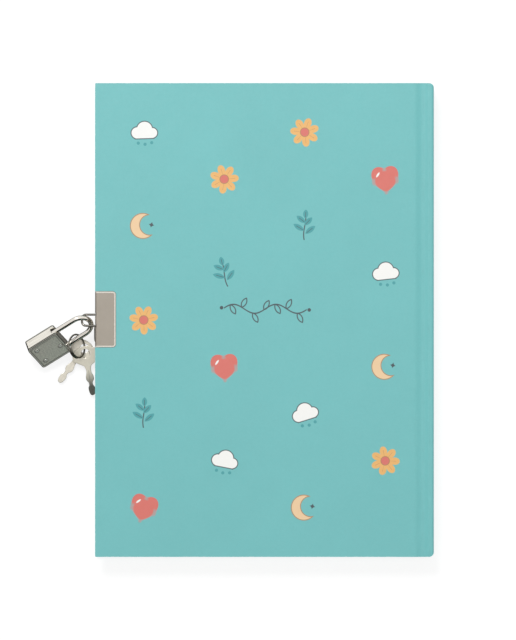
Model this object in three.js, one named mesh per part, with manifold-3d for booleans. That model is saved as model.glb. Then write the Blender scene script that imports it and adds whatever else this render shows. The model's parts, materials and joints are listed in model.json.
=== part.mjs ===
// A hardcover diary that lies on its front cover, with a clasp plate and a wire bail on each cover's
// fore-edge, and a small riveted padlock that hangs in the rear bail with two keys on a wire ring.
// Millimetres. X runs from the fore-edge to the spine, Y to the head, Z up from the table.
// The origin is the centre of the front cover's outer face.

import * as THREE from "three";
import { mergeVertices } from "three/addons/utils/BufferGeometryUtils.js";
import Module from "manifold-3d";

const wasm = await Module();
wasm.setup();

// Covers
const coverWidth = 151.6;
const coverHeight = 212;
const boardThickness = 2;
const paperThickness = 0.2;
const glueLine = 0.02;
const turnIn = 14;
const pastedownMargin = 0.1;
const coverCornerRadius = 0.5;

// Groove and spine
const spineThickness = 2;
const spineCornerRadius = 2.2;
const spineEdgeRadius = 1.1;
const grooveWidth = 6.4;
const grooveDepth = 0.5;
const grooveSlope = 3.4;
const grooveSheet = 0.3;
const grooveGap = 0.05;

// Text block
const signatureCount = 8;
const signatureThickness = 1.2;
const flyleafThickness = 0.2;
const leafGap = 0.05;
const coverGap = 0.1;
const edgeOverhang = 3;
const foreOverhang = 3.5;
const liningThickness = 0.35;
const hollowGap = 0.3;
const bandHeight = 1.2;
const bandWidth = 2.2;

// Clasp plates
const clipDepth = 9.3;
const clipLength = 25;
const clipOffset = 0.3;
const clipSheet = 0.5;
const clipFoldRadius = 0.9;
const clipCornerRadius = 1.4;
const clipGap = 0.1;
const rearClipProud = 0.15;
const slotGap = 0.18;

// Wire bails
const bailWire = 1;
const rearBailWidth = 6;
const rearBailReach = 7.35;
const rearBailOffset = -0.1;
const rearBailDroop = 16;
const frontBailWidth = 8.2;
const frontBailReach = 6.2;
const frontBailOffset = -6;
const frontBailLean = 12;
const bailCorner = 0.9;
const bailEndCorner = 2.2;
const bailSeam = 0.5;

// Padlock, placed from the fore-edge
const lockWidth = 14.2;
const lockHeight = 15.2;
const lockDepth = 6.1;
const lockCornerRadius = 1;
const lockWall = 0.4;
const lockPlate = 0.5;
const lockSeam = 0.05;
const lockBorder = 1;
const lockBorderDepth = 0.15;
const lockCentre = new THREE.Vector3(-21.3, -11.85, 8.35);
const lockHeading = 31.6;
const lockNose = 9.4;
const lockRoll = 44.3;

// Shackle
const shackleWire = 2.2;
const shackleRise = 15.8;
const shackleEngagement = 2;
const shackleClearance = 0.2;
const toeNotchHeight = 1.2;
const toeNotchDepth = 0.7;
const heelPinRadius = 0.4;
const pinClearance = 0.07;

// Rivets, bolt and spring
const rivetRadius = 0.6;
const rivetHeadRadius = 0.95;
const rivetHeadHeight = 0.2;
const rivetSpacing = 7.8;
const rivetLow = -4.4;
const rivetHigh = 5.2;
const rivetHighShift = 1;
const boltHeight = 0.9;
const boltLength = 6.5;
const boltDepth = 2.4;
const boltClearance = 0.1;
const springSheet = 0.3;
const springWidth = 2;
const springGap = 0.2;
const springBend = 0.7;
const keywayWidth = 3.8;
const keywayHeight = 1.2;

// Key ring, placed from the fore-edge
const ringWire = 0.8;
const ringRadius = 5.2;
const ringOverlap = 110;
const ringStep = 0.95;
const ringStart = -66;
const ringCentre = new THREE.Vector3(-8.14, -11.68, 7.17);
const ringNormal = new THREE.Vector3(1, 0.19, 0.69).normalize();

// Keys, placed from the fore-edge
const keyThickness = 0.8;
const keyHoleRadius = 2.05;
const keyBowHalfWidth = 6.2;
const keyBowTop = 3.4;
const keyNeckDrop = 6.2;
const keyLength = 19.1;
const keyPlaces = {
  key_1: { hole: [-4.59, -15.07, 4.26], heading: 9.4, pitch: 6, roll: -5.8 },
  key_2: { hole: [-5.15, -12.77, 1.84], heading: -37, pitch: -0.1, roll: 0 },
};

// Round stretches
const wireSides = 12;
const wireSteps = 56;
const arcSteps = 4;

const foreX = -coverWidth / 2;
const spineX = coverWidth / 2;
const headY = coverHeight / 2;
const layer = paperThickness + glueLine;
const coverThickness = boardThickness + 2 * layer;
const leafCount = signatureCount + 2;
const blockThickness =
  signatureCount * signatureThickness + 2 * flyleafThickness + (leafCount - 1) * leafGap;
const bookThickness = blockThickness + 2 * (coverThickness + coverGap);
const spineBoardX = spineX - layer - spineThickness;
const boardBackX = spineBoardX - grooveWidth;
const leafForeX = foreX + foreOverhang;
const leafBackX = spineBoardX - hollowGap - liningThickness - glueLine;
const leafY = headY - edgeOverhang;

const finishes = {
  laminate: { color: 0x84c4c1, roughness: 0.55, metalness: 0 },
  greyboard: { color: 0x9c968a, roughness: 0.95, metalness: 0 },
  endpaper: { color: 0xf1eee6, roughness: 0.9, metalness: 0 },
  page: { color: 0xf6f3ea, roughness: 0.9, metalness: 0 },
  lining: { color: 0xe4dfd0, roughness: 1, metalness: 0 },
  band: { color: 0x4aa7a6, roughness: 0.9, metalness: 0 },
  clip: { color: 0xaaa39a, roughness: 0.4, metalness: 0.9 },
  wire: { color: 0xb4b1aa, roughness: 0.25, metalness: 1 },
  casing: { color: 0x848782, roughness: 0.35, metalness: 1 },
  polished: { color: 0xede6dc, roughness: 0.2, metalness: 1 },
  steel: { color: 0x8e8d88, roughness: 0.4, metalness: 1 },
  key: { color: 0xcfc6b9, roughness: 0.35, metalness: 0.9 },
};

const diary = new THREE.Group();
const foreEdge = new THREE.Group();
foreEdge.position.x = foreX;
diary.add(foreEdge);

function addPiece(name, geometry, finish, parent = diary) {
  const mesh = new THREE.Mesh(geometry, new THREE.MeshStandardMaterial(finishes[finish]));
  mesh.name = name;
  parent.add(mesh);
  return mesh;
}

// Solids: geometries become manifolds for cutting and joining, and go back to geometries.
function solidOf(geometry) {
  const bare = geometry.index ? geometry.toNonIndexed() : geometry.clone();
  bare.deleteAttribute("normal");
  bare.deleteAttribute("uv");
  const merged = mergeVertices(bare, 1e-4);
  return new wasm.Manifold(
    new wasm.Mesh({
      numProp: 3,
      vertProperties: new Float32Array(merged.attributes.position.array),
      triVerts: new Uint32Array(merged.index.array),
    }),
  );
}

function geometryOf(solid) {
  const mesh = solid.getMesh();
  return new THREE.BufferGeometry()
    .setAttribute("position", new THREE.BufferAttribute(mesh.vertProperties, 3))
    .setIndex(new THREE.BufferAttribute(mesh.triVerts, 1));
}

function block(x0, x1, y0, y1, z0, z1) {
  const geometry = new THREE.BoxGeometry(
    Math.abs(x1 - x0),
    Math.abs(y1 - y0),
    Math.abs(z1 - z0),
  );
  return geometry.translate((x0 + x1) / 2, (y0 + y1) / 2, (z0 + z1) / 2);
}

function blockSolid(...sides) {
  return solidOf(block(...sides));
}

function rod(radius, z0, z1, x = 0, y = 0, sides = 16) {
  const geometry = new THREE.CylinderGeometry(radius, radius, z1 - z0, sides);
  return geometry.rotateX(Math.PI / 2).translate(x, y, (z0 + z1) / 2);
}

// A closed outline whose corners [x, y, radius] are rounded with arcs.
function outline(corners) {
  const shape = new THREE.Shape();
  const count = corners.length;
  corners.forEach(([x, y, radius = 0], i) => {
    const here = new THREE.Vector2(x, y);
    const [px, py] = corners[(i + count - 1) % count];
    const [nx, ny] = corners[(i + 1) % count];
    const back = new THREE.Vector2(px, py).sub(here).normalize();
    const on = new THREE.Vector2(nx, ny).sub(here).normalize();
    const half = Math.acos(THREE.MathUtils.clamp(back.dot(on), -1, 1)) / 2;
    const reach = radius / Math.tan(half);
    const start = here.clone().addScaledVector(back, reach);
    const end = here.clone().addScaledVector(on, reach);
    const centre = back.clone().add(on).normalize();
    centre.multiplyScalar(radius / Math.sin(half)).add(here);
    if (i === 0) shape.moveTo(start.x, start.y);
    else shape.lineTo(start.x, start.y);
    if (radius > 0) {
      const from = Math.atan2(start.y - centre.y, start.x - centre.x);
      const to = Math.atan2(end.y - centre.y, end.x - centre.x);
      const clockwise = back.cross(on) > 0;
      shape.absarc(centre.x, centre.y, radius, from, to, clockwise);
    }
  });
  return shape;
}

function rectangle(x0, x1, y0, y1, radii = [0, 0, 0, 0]) {
  return outline([
    [x0, y0, radii[0]],
    [x1, y0, radii[1]],
    [x1, y1, radii[2]],
    [x0, y1, radii[3]],
  ]);
}

function extrudeZ(shape, z0, z1, curveSegments = arcSteps) {
  const geometry = new THREE.ExtrudeGeometry(shape, {
    depth: z1 - z0,
    bevelEnabled: false,
    curveSegments,
  });
  return geometry.translate(0, 0, z0);
}

// The shape's x stays X and its y becomes Z.
function extrudeY(shape, y0, y1, curveSegments = arcSteps) {
  const geometry = new THREE.ExtrudeGeometry(shape, {
    depth: y1 - y0,
    bevelEnabled: false,
    curveSegments,
  });
  return geometry.rotateX(Math.PI / 2).translate(0, y1, 0);
}

function wire(path, diameter, steps = wireSteps, sides = wireSides) {
  const section = new THREE.Shape(
    Array.from({ length: sides }, (_, i) => {
      const angle = (2 * Math.PI * i) / sides;
      return new THREE.Vector2(Math.cos(angle), Math.sin(angle)).multiplyScalar(diameter / 2);
    }),
  );
  return new THREE.ExtrudeGeometry(section, { steps, bevelEnabled: false, extrudePath: path });
}

// A wire path through points, with each inner corner rounded by its radius.
function roundedPath(points, radii) {
  const path = new THREE.CurvePath();
  let from = points[0];
  for (let i = 1; i < points.length - 1; i++) {
    const here = points[i];
    const start = here.clone().add(points[i - 1].clone().sub(here).setLength(radii[i - 1]));
    const end = here.clone().add(points[i + 1].clone().sub(here).setLength(radii[i - 1]));
    path.add(new THREE.LineCurve3(from, start));
    path.add(new THREE.QuadraticBezierCurve3(start, here, end));
    from = end;
  }
  path.add(new THREE.LineCurve3(from, points[points.length - 1]));
  return path;
}

// Each cover is laid out by depth, from its outer face inwards.
const front = {
  name: "front",
  zAt: (depth) => depth,
  clipProud: 0,
  bail: {
    width: frontBailWidth,
    reach: frontBailReach,
    offset: frontBailOffset,
    angle: 90 + frontBailLean,
  },
};
const rear = {
  name: "rear",
  zAt: (depth) => bookThickness - depth,
  clipProud: rearClipProud,
  bail: {
    width: rearBailWidth,
    reach: rearBailReach,
    offset: rearBailOffset,
    angle: 180 + rearBailDroop,
  },
};

function slab(side, x0, x1, y0, y1, depth0, depth1) {
  return block(x0, x1, y0, y1, side.zAt(depth0), side.zAt(depth1));
}

// Clasp plate: a folded sheet whose fold holds the bail's pivot.
const clipFold = clipSheet + clipGap + bailWire + 2 * clipGap;
const pivotX = foreX + clipSheet + clipGap + bailWire / 2;
const pivotDepth = (side) => (coverThickness - side.clipProud) / 2;
const clipY0 = clipOffset - clipLength / 2;
const clipY1 = clipOffset + clipLength / 2;

function clipRecess(side) {
  const r = clipCornerRadius + clipGap;
  const plan = rectangle(
    foreX - 1,
    foreX + clipDepth + clipGap,
    clipY0 - clipGap,
    clipY1 + clipGap,
    [0, r, r, 0],
  );
  const [zLow, zHigh] = [side.zAt(-1), side.zAt(coverThickness + 1)].sort((a, b) => a - b);
  const all = solidOf(extrudeZ(plan, zLow, zHigh));
  const tongue = solidOf(
    slab(
      side,
      foreX + clipFold,
      foreX + 2 * clipDepth,
      clipY0 - 2 * clipGap,
      clipY1 + 2 * clipGap,
      clipSheet + clipGap - side.clipProud,
      coverThickness - clipSheet - clipGap,
    ),
  );
  return all.subtract(tongue);
}

function clipProfile(side) {
  const outer = -side.clipProud;
  const z = side.zAt;
  const r = clipFoldRadius;
  const inner = clipFoldRadius - clipSheet;
  const end = foreX + clipDepth;
  return outline([
    [end, z(outer)],
    [foreX, z(outer), r],
    [foreX, z(coverThickness), r],
    [end, z(coverThickness)],
    [end, z(coverThickness - clipSheet)],
    [foreX + clipSheet, z(coverThickness - clipSheet), inner],
    [foreX + clipSheet, z(outer + clipSheet), inner],
    [end, z(outer + clipSheet)],
  ]);
}

function legYs(bail) {
  const half = (bail.width - bailWire) / 2;
  return [bail.offset - half, bail.offset + half];
}

function makeClip(side) {
  const sheet = solidOf(extrudeY(clipProfile(side), clipY0, clipY1));
  const r = clipCornerRadius;
  const plan = rectangle(foreX - 1, foreX + clipDepth, clipY0, clipY1, [0, r, r, 0]);
  let clip = sheet.intersect(solidOf(extrudeZ(plan, -1, bookThickness + 1)));
  const slotHalf = bailWire / 2 + slotGap;
  const middle = pivotDepth(side);
  const slots = {
    rear: { back: foreX + clipSheet + clipGap, depths: [-1, 2.06] },
    front: { back: pivotX + slotHalf + 0.25, depths: [middle - slotHalf, coverThickness + 1] },
  };
  const { back, depths } = slots[side.name];
  for (const y of legYs(side.bail)) {
    clip = clip.subtract(
      solidOf(slab(side, foreX - 1, back, y - slotHalf, y + slotHalf, ...depths)),
    );
  }
  addPiece(side.name + "_clip", geometryOf(clip), "clip");
}

function makeBail(side) {
  const { reach, angle } = side.bail;
  const [low, high] = legYs(side.bail);
  const turn = THREE.MathUtils.degToRad(angle);
  const z = side.zAt(pivotDepth(side));
  const at = (y, along) =>
    new THREE.Vector3(pivotX + along * Math.cos(turn), y, z + along * Math.sin(turn));
  const middle = side.bail.offset;
  const path = roundedPath(
    [
      at(middle + bailSeam / 2, 0),
      at(high, 0),
      at(high, reach),
      at(low, reach),
      at(low, 0),
      at(middle - bailSeam / 2, 0),
    ],
    [bailCorner, bailEndCorner, bailEndCorner, bailCorner],
  );
  addPiece(side.name + "_bail", wire(path, bailWire), "wire");
}

function makeCover(side) {
  const recess = clipRecess(side);
  const r = coverCornerRadius;
  const zLow = Math.min(side.zAt(0), side.zAt(coverThickness));
  const plan = rectangle(foreX, boardBackX, -headY, headY, [r, 0, 0, r]);
  const outer = solidOf(extrudeZ(plan, zLow, zLow + coverThickness));
  const pocket = solidOf(
    slab(
      side,
      foreX + paperThickness,
      boardBackX + 1,
      paperThickness - headY,
      headY - paperThickness,
      paperThickness,
      coverThickness - paperThickness,
    ),
  );
  const window = solidOf(
    slab(
      side,
      foreX + turnIn,
      boardBackX + 1,
      turnIn - headY,
      headY - turnIn,
      coverThickness - 2 * paperThickness,
      coverThickness + 1,
    ),
  );
  const paper = outer.subtract(pocket).subtract(window).subtract(recess);
  addPiece(side.name + "_cover_paper", geometryOf(paper), "laminate");

  const board = solidOf(
    slab(
      side,
      foreX + layer,
      boardBackX,
      layer - headY,
      headY - layer,
      layer,
      layer + boardThickness,
    ),
  ).subtract(recess);
  addPiece(side.name + "_board", geometryOf(board), "greyboard");

  const inset = turnIn + pastedownMargin;
  addPiece(
    side.name + "_pastedown",
    slab(
      side,
      foreX + inset,
      boardBackX,
      inset - headY,
      headY - inset,
      coverThickness - paperThickness,
      coverThickness,
    ),
    "endpaper",
  );
  makeGutter(side);
  makeClip(side);
  makeBail(side);
}

// The strip that crosses the groove: down from the board, along the floor and up to the spine.
function makeGutter(side) {
  const start = boardBackX + grooveGap;
  const end = spineBoardX - grooveGap;
  const half = grooveSlope / 2;
  const z = side.zAt;
  const shape = new THREE.Shape();
  const run = (from, to, lift, down) => {
    const a = z(lift);
    const b = z(grooveDepth + lift);
    const [z0, z1] = down ? [a, b] : [b, a];
    shape.bezierCurveTo(from + (to - from) / 2, z0, to - (to - from) / 2, z1, to, z1);
  };
  shape.moveTo(start, z(0));
  run(start, start + grooveSlope, 0, true);
  shape.lineTo(end - half, z(grooveDepth));
  run(end - half, end, 0, false);
  shape.lineTo(end, z(grooveSheet));
  run(end, end - half, grooveSheet, true);
  shape.lineTo(start + grooveSlope, z(grooveDepth + grooveSheet));
  run(start + grooveSlope, start, grooveSheet, false);
  addPiece(side.name + "_gutter", extrudeY(shape, -headY, headY, 6), "laminate");
}

// The spine board's outline, rounded at the corners in plan and along its two outer edges.
function spineSolid(x0, inset) {
  const corner = spineCornerRadius - inset;
  const edge = spineEdgeRadius - inset;
  const x1 = spineX - inset;
  const y = headY - inset;
  const z0 = inset;
  const z1 = bookThickness - inset;
  const plan = rectangle(x0, x1, -y, y, [0, corner, corner, 0]);
  const section = rectangle(x0, x1, z0, z1, [0, edge, edge, 0]);
  return solidOf(extrudeZ(plan, z0, z1)).intersect(solidOf(extrudeY(section, -y, y)));
}

function makeSpine() {
  const paper = spineSolid(spineBoardX, 0).subtract(
    spineSolid(spineBoardX - 1, paperThickness),
  );
  addPiece("spine_paper", geometryOf(paper), "laminate");
  addPiece("spine_board", geometryOf(spineSolid(spineBoardX, layer)), "greyboard");
}

// A folded bundle of sheets: its back is the round fold.
function makeLeaf(name, z0, thickness, finish) {
  const r = thickness / 2;
  const profile = rectangle(leafForeX, leafBackX, z0, z0 + thickness, [0, r, r, 0]);
  addPiece(name, extrudeY(profile, -leafY, leafY), finish);
}

function makeBlock() {
  let z = coverThickness + coverGap;
  makeLeaf("front_flyleaf", z, flyleafThickness, "endpaper");
  z += flyleafThickness + leafGap;
  const backLow = z;
  for (let i = 1; i <= signatureCount; i++) {
    makeLeaf("signature_" + String(i).padStart(2, "0"), z, signatureThickness, "page");
    z += signatureThickness + leafGap;
  }
  const backHigh = z - leafGap;
  makeLeaf("rear_flyleaf", z, flyleafThickness, "endpaper");

  const liningX = leafBackX + glueLine;
  addPiece(
    "spine_lining",
    block(liningX, liningX + liningThickness, -leafY, leafY, backLow, backHigh),
    "lining",
  );
  for (const [name, sign] of [["head_band", 1], ["tail_band", -1]]) {
    const y0 = sign * (leafY + glueLine);
    const y1 = y0 + sign * bandHeight;
    const x1 = liningX + liningThickness;
    const r = bandHeight / 2;
    const profile = sign > 0
      ? rectangle(x1 - bandWidth, x1, y0, y1, [0, 0, r, r])
      : rectangle(x1 - bandWidth, x1, y1, y0, [r, r, 0, 0]);
    addPiece(name, extrudeZ(profile, backLow, backHigh), "band");
  }
}

// Padlock: local x across the case, y from its foot to the shackle, z from its back to its front plate.
const padlock = new THREE.Group();
const halfWidth = lockWidth / 2;
const halfHeight = lockHeight / 2;
const halfDepth = lockDepth / 2;
const plateZ = halfDepth - lockPlate;
const bandZ = plateZ - lockSeam;
const shackleRadius = shackleWire / 2;
const legX = halfWidth - lockWall - shackleClearance - shackleRadius;
const pinY = halfHeight - shackleEngagement;
const archY = halfHeight + shackleRise - shackleRadius - legX;
const notchY = pinY + 0.3;
const rivetPlaces = [
  [-rivetSpacing / 2, rivetLow],
  [rivetSpacing / 2, rivetLow],
  [rivetHighShift, rivetHigh],
];

function placePadlock() {
  const heading = THREE.MathUtils.degToRad(lockHeading);
  const nose = THREE.MathUtils.degToRad(lockNose);
  const roll = THREE.MathUtils.degToRad(lockRoll);
  padlock.rotation.set(nose, roll, heading - Math.PI / 2, "ZXY");
  padlock.position.copy(lockCentre);
  foreEdge.add(padlock);
}

function caseOutline(inset) {
  const r = Math.max(lockCornerRadius - inset, 0.2);
  return rectangle(
    inset - halfWidth,
    halfWidth - inset,
    inset - halfHeight,
    halfHeight - inset,
    [r, r, r, r],
  );
}

function makeCase() {
  const reach = halfHeight + 1;
  const gap = shackleRadius + shackleClearance;
  const toeInner = gap + 0.25;
  const band = solidOf(extrudeZ(caseOutline(0), -bandZ, bandZ))
    .subtract(solidOf(extrudeZ(caseOutline(lockWall), -reach, reach)))
    .subtract(blockSolid(legX - toeInner, legX + gap, pinY, reach, -gap, gap))
    .subtract(blockSolid(-reach, gap - legX, pinY, reach, -gap, gap))
    .subtract(
      blockSolid(
        -keywayWidth / 2,
        keywayWidth / 2,
        -reach,
        0,
        -keywayHeight / 2,
        keywayHeight / 2,
      ),
    );
  addPiece("lock_band", geometryOf(band), "polished", padlock);

  const holes = rivetPlaces.map(([x, y]) =>
    solidOf(rod(rivetRadius + lockSeam, -reach, reach, x, y)),
  );
  const drilled = (plate) => holes.reduce((left, hole) => left.subtract(hole), plate);
  const field = solidOf(
    extrudeZ(caseOutline(lockBorder), halfDepth - lockBorderDepth, halfDepth + 1),
  );
  const frontPlate = solidOf(extrudeZ(caseOutline(0), plateZ, halfDepth)).subtract(field);
  addPiece("lock_front_plate", geometryOf(drilled(frontPlate)), "casing", padlock);
  const backPlate = solidOf(extrudeZ(caseOutline(0), -halfDepth, -plateZ));
  addPiece("lock_back_plate", geometryOf(drilled(backPlate)), "casing", padlock);
}

function makeRivets() {
  const frontSeat = halfDepth - lockBorderDepth + lockSeam;
  const backSeat = -halfDepth - lockSeam;
  const shank = rivetRadius - lockSeam;
  rivetPlaces.forEach(([x, y], i) => {
    const profile = [
      [0, backSeat - rivetHeadHeight],
      [rivetHeadRadius * 0.7, backSeat - rivetHeadHeight * 0.7],
      [rivetHeadRadius, backSeat],
      [shank, backSeat],
      [shank, frontSeat],
      [rivetHeadRadius, frontSeat],
      [rivetHeadRadius * 0.7, frontSeat + rivetHeadHeight * 0.7],
      [0, frontSeat + rivetHeadHeight],
    ].map(([radius, z]) => new THREE.Vector2(radius, z));
    const rivet = new THREE.LatheGeometry(profile, 12).rotateX(Math.PI / 2).translate(x, y, 0);
    addPiece("lock_rivet_" + (i + 1), rivet, "casing", padlock);
  });
}

function makeShackle() {
  const path = new THREE.CurvePath();
  const foot = pinY - shackleRadius;
  path.add(new THREE.LineCurve3(new THREE.Vector3(legX, pinY, 0), new THREE.Vector3(legX, archY, 0)));
  const arch = new THREE.EllipseCurve(0, archY, legX, legX, 0, Math.PI);
  const bends = arch.getPoints(24).map((p) => new THREE.Vector3(p.x, p.y, 0));
  for (let i = 1; i < bends.length; i++) path.add(new THREE.LineCurve3(bends[i - 1], bends[i]));
  path.add(new THREE.LineCurve3(new THREE.Vector3(-legX, archY, 0), new THREE.Vector3(-legX, foot, 0)));
  const bar = solidOf(wire(path, shackleWire, wireSteps, 16));
  const below = blockSolid(-legX - 3, -legX + 3, foot - 1, pinY, -3, 3);
  const heel = below.subtract(solidOf(rod(shackleRadius, -4, 4, -legX, pinY, 24)));
  const shackle = bar
    .subtract(heel)
    .subtract(solidOf(rod(heelPinRadius + pinClearance, -4, 4, -legX, pinY)))
    .subtract(
      blockSolid(
        legX - shackleRadius - 1,
        legX - shackleRadius + toeNotchDepth,
        notchY,
        notchY + toeNotchHeight,
        -2,
        2,
      ),
    );
  addPiece("shackle", geometryOf(shackle), "polished", padlock);
  addPiece(
    "lock_heel_pin",
    rod(heelPinRadius, -bandZ, bandZ, -legX, pinY),
    "steel",
    padlock,
  );
}

function makeBolt() {
  const nose = legX - shackleRadius - boltClearance;
  const y0 = notchY + (toeNotchHeight - boltHeight) / 2;
  const z = boltDepth / 2;
  addPiece(
    "lock_bolt",
    block(nose - boltLength, nose, y0, y0 + boltHeight, -z, z),
    "steel",
    padlock,
  );
  const top = y0 - boltClearance;
  const foot = lockWall + boltClearance - halfHeight;
  const inner = -keywayWidth / 2;
  const tip = rivetHighShift - rivetRadius - springGap;
  const strip = outline([
    [inner - springSheet, foot],
    [inner, foot],
    [inner, top - springSheet, springBend],
    [tip, top - springSheet],
    [tip, top],
    [inner - springSheet, top, springBend + springSheet],
  ]);
  addPiece("lock_spring", extrudeZ(strip, -springWidth / 2, springWidth / 2), "steel", padlock);
}

// The ring's path: one turn and an overlap, with the second layer a wire's step along the ring's axis.
function ringFrame() {
  const down = new THREE.Vector3(0, 0, -1);
  const low = down.addScaledVector(ringNormal, ringNormal.z).normalize();
  const across = new THREE.Vector3().crossVectors(ringNormal, low);
  return { low, across };
}

function ringPoint(degrees, lift = 0) {
  const { low, across } = ringFrame();
  const angle = THREE.MathUtils.degToRad(degrees);
  return ringCentre
    .clone()
    .addScaledVector(low, ringRadius * Math.cos(angle))
    .addScaledVector(across, ringRadius * Math.sin(angle))
    .addScaledVector(ringNormal, lift);
}

function makeRing() {
  class RingCurve extends THREE.Curve {
    getPoint(t) {
      const turned = t * (360 + ringOverlap);
      const over = THREE.MathUtils.smoothstep(turned, ringOverlap, 2 * ringOverlap);
      return ringPoint(ringStart - turned, ringStep * (over - 1));
    }
  }
  addPiece("key_ring", wire(new RingCurve(), ringWire, 64, 10), "wire", foreEdge);
}

// A flat key with the centre of its hole at the origin and its blade along -y.
function keyShape() {
  const waist = 1.05;
  const half = keyBowHalfWidth;
  const shoulder = keyBowTop - 0.45;
  const shape = new THREE.Shape();
  shape.moveTo(0, keyBowTop);
  shape.quadraticCurveTo(1.5, keyBowTop, 2.6, shoulder);
  shape.quadraticCurveTo(half - 0.5, 1.9, half, -0.9);
  shape.lineTo(half, -2);
  shape.quadraticCurveTo(half, -2.9, half - 0.8, -3.3);
  shape.lineTo(waist + 0.75, -keyNeckDrop + 0.7);
  shape.quadraticCurveTo(waist + 0.15, -keyNeckDrop, waist, -keyNeckDrop - 1.6);
  const bitStops = [
    [1.8, 7.8],
    [0.78, 5.2],
    [1.45, 3.2],
  ];
  let last = [waist, keyLength - keyNeckDrop - 1.6];
  for (const stop of bitStops) {
    const middle = -keyLength + (last[1] + stop[1]) / 2;
    shape.bezierCurveTo(last[0], middle, stop[0], middle, stop[0], stop[1] - keyLength);
    last = stop;
  }
  shape.bezierCurveTo(last[0], -keyLength + 0.7, 0.9, -keyLength, 0, -keyLength);
  const right = shape.getPoints(4);
  const left = right.slice(1, -1).map((p) => new THREE.Vector2(-p.x, p.y)).reverse();
  const whole = new THREE.Shape([...right, ...left]);
  const hole = new THREE.Path();
  hole.absarc(0, 0, keyHoleRadius, 0, 2 * Math.PI, false);
  whole.holes.push(hole);
  return whole;
}

function makeKey(name) {
  const { hole, heading, pitch, roll } = keyPlaces[name];
  const geometry = extrudeZ(keyShape(), -keyThickness / 2, keyThickness / 2, 5);
  const key = addPiece(name, geometry, "key", foreEdge);
  key.position.set(...hole);
  key.rotation.set(
    THREE.MathUtils.degToRad(pitch),
    THREE.MathUtils.degToRad(roll),
    THREE.MathUtils.degToRad(heading),
    "ZYX",
  );
}

makeCover(front);
makeCover(rear);
makeSpine();
makeBlock();
placePadlock();
makeCase();
makeRivets();
makeShackle();
makeBolt();
makeRing();
makeKey("key_1");
makeKey("key_2");

export default diary;
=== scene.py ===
"""Looks of a lockable diary: printed covers, sewn leaves, clasps, a small padlock and its keys."""

import json
import math
import random

import bmesh
import bpy
from mathutils import Matrix, Vector

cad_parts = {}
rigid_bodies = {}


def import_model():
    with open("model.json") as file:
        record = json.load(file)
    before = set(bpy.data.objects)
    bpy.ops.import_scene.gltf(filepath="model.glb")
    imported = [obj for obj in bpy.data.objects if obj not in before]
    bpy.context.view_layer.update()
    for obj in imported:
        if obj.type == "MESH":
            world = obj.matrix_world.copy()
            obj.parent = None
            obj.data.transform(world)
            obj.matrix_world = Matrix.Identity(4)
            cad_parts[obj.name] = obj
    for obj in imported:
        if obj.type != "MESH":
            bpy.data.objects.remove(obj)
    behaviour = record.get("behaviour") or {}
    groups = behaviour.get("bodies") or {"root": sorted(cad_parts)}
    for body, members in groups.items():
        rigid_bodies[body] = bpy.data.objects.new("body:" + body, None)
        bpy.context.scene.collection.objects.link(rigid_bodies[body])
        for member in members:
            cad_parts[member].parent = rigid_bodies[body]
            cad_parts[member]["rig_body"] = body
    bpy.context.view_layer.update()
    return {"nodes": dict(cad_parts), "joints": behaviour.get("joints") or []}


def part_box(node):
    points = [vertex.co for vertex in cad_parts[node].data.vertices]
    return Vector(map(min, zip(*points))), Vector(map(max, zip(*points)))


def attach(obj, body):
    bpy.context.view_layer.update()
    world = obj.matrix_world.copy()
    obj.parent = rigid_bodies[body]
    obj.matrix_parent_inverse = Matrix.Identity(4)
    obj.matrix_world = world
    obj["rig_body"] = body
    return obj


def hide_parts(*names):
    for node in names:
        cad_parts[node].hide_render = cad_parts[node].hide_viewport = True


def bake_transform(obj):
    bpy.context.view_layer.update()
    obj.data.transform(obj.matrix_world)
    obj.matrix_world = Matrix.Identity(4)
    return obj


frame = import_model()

MM = 0.001
JOINTS = {joint["name"]: joint for joint in frame["joints"]}

# Book sizes, in millimetres
FORE_X = -75.8
SPINE_X = 75.8
HEAD_Y = 106.0
BOOK_TOP = 15.53
BOARD_BACK_X = 67.18
SPINE_BOARD_X = 73.58
LEAF_FORE_X = -72.3
LEAF_BACK_X = 72.91
LEAF_Y = 103.0
SHEETS_IN_BUNDLE = 10
RULE_STEP = 7.0
RULE_WIDTH = 0.28
RULED_HALF_WIDTH = 64.0
RULED_HALF_HEIGHT = 93.0

# Groove beside the spine: a slope down from the board, a floor and a rise to the spine
GROOVE_DEPTH = 0.5
GROOVE_SLOPE = 3.4
GROOVE_RISE = 2.2
GROOVE_SHEET = 0.3

# Clasp plates and bails
CLIP_DEPTH = 9.3
CLIP_LOW_Y = -12.2
CLIP_HIGH_Y = 12.8
CLIP_MIDDLE_Y = (CLIP_LOW_Y + CLIP_HIGH_Y) / 2
CLIP_HALF_Y = (CLIP_HIGH_Y - CLIP_LOW_Y) / 2
CLIP_CORNER = 1.4
PIVOT_X = -74.7
BAIL_WIRE = 1.0
BAIL_CORNER = 0.9
BAIL_END_CORNER = 2.2
BAIL_SEAM = 0.5
BAILS = {
    "rear": {"pivot_z": 14.385, "width": 6.0, "reach": 7.35, "offset": -0.1, "angle": 196.0},
    "front": {"pivot_z": 1.22, "width": 8.2, "reach": 6.2, "offset": -6.0, "angle": 102.0},
}

# Padlock, in its own frame: x across the case, y towards the shackle, z out of the front plate
LOCK_WIDTH = 14.2
LOCK_HEIGHT = 15.2
LOCK_DEPTH = 6.1
LOCK_BORDER = 1.0
LOCK_BORDER_DEPTH = 0.15
LOCK_PLATE = 0.5
LEG_X = 5.4
PIN_Y = 5.6
ARCH_Y = 16.9
SHACKLE_WIRE = 2.2
NOTCH_Y = 5.9
NOTCH_HEIGHT = 1.2
NOTCH_DEPTH = 0.7
RIVETS = ((-3.9, -4.4), (3.9, -4.4), (1.0, 5.2))
RIVET_HEAD = 0.95
RIVET_SHANK = 0.55
RIVET_DOME = 0.2
RIVET_SEAT = 0.05

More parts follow.
